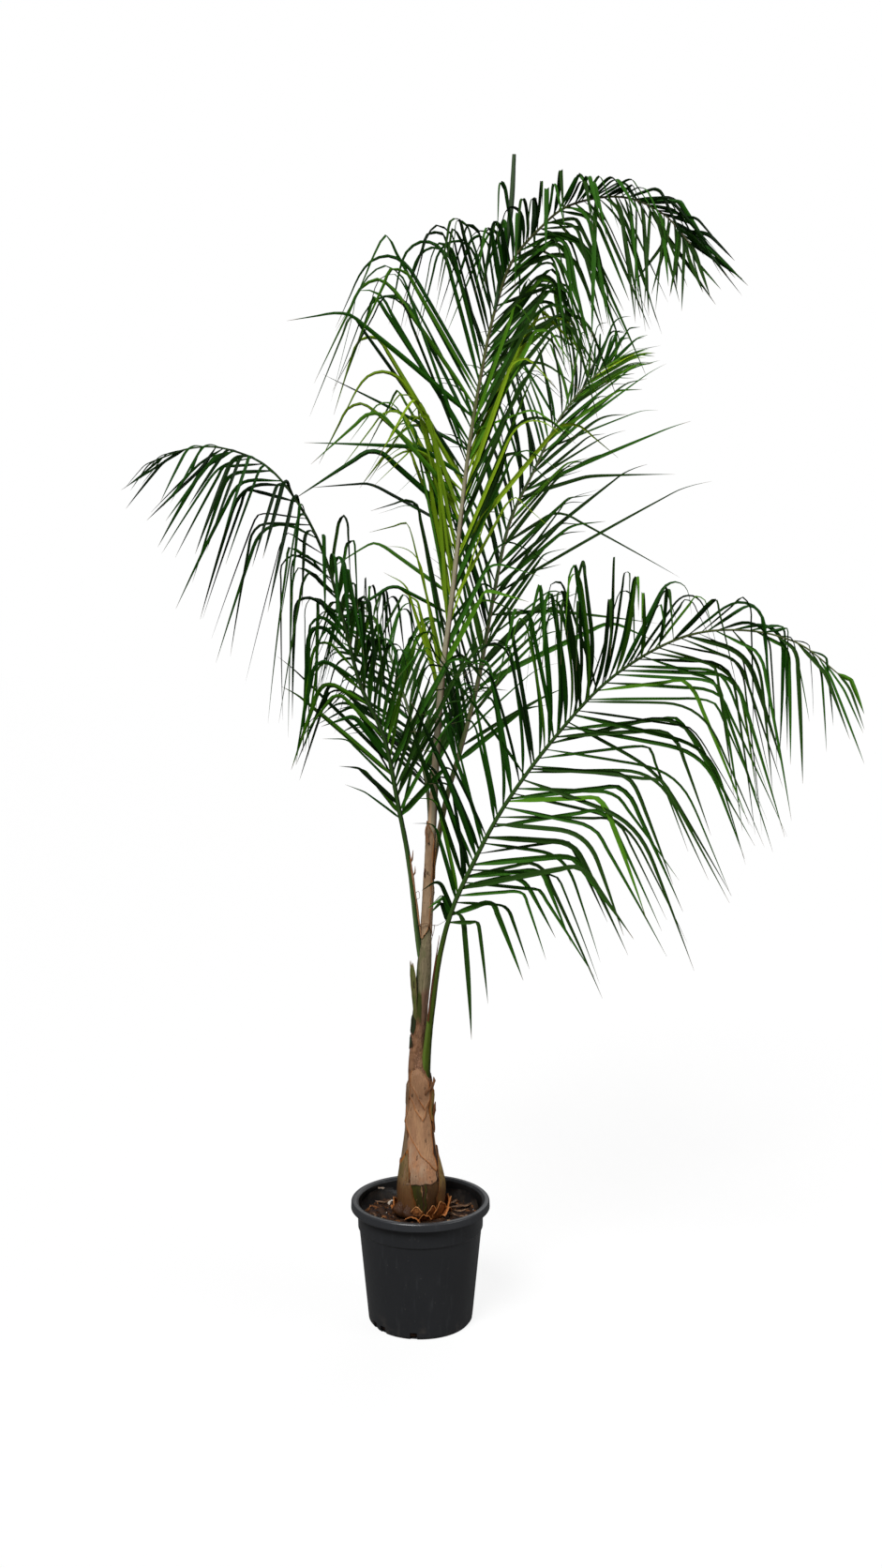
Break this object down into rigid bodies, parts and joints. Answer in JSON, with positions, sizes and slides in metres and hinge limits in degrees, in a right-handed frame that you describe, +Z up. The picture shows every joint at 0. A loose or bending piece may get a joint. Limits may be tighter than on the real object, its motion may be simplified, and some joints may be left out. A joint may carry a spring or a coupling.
{
  "type": "potted queen palm",
  "caption": "Tall feather palm in a round nursery pot: swollen sheathed stem and arching fronds of drooping leaflets, free-standing on the pot's flat base.",
  "frame": {"origin": "middle of the pot's flat underside, on the floor", "axes": "+Z up; -Y towards the front, the side with the fullest right-hand frond; +X to the right as seen from the front"},
  "size_m": [1.2313, 0.8996, 2.2115],
  "materials": {
    "black_plastic": "satin, faintly grained",
    "potting_mix": "rough bark mix",
    "stem_fibre": "dull, fibrous",
    "dry_husk": "dry, papery",
    "petiole": "smooth, waxy",
    "leaflet_mid": "semi-gloss leaf",
    "leaflet_deep": "semi-gloss leaf",
    "leaflet_green": "semi-gloss leaf",
    "leaflet_dark": "semi-gloss leaf",
    "leaflet_shade": "semi-gloss leaf"
  },
  "bodies": {
    "root": {"pot": "black_plastic", "potting_mix": "potting_mix", "trunk": "stem_fibre", "sheath_left": "stem_fibre", "sheath_right": "stem_fibre", "sheath_back": "stem_fibre", "sheath_front": "stem_fibre", "husk_1": "dry_husk", "husk_2": "dry_husk", "husk_3": "dry_husk", "husk_4": "dry_husk", "husk_5": "dry_husk", "husk_6": "dry_husk", "husk_7": "dry_husk", "petiole_stub": "petiole", "centre_petiole": "petiole", "centre_frond": "leaflet_mid", "centre_frond_tip": "leaflet_mid", "left_petiole": "petiole", "left_frond": "leaflet_deep", "left_frond_tip": "leaflet_deep", "right_petiole": "petiole", "right_frond": "leaflet_green", "right_frond_tip": "leaflet_green", "back_petiole": "petiole", "back_frond": "leaflet_dark", "rear_petiole": "petiole", "rear_frond": "leaflet_shade"}
  },
  "joints": []
}
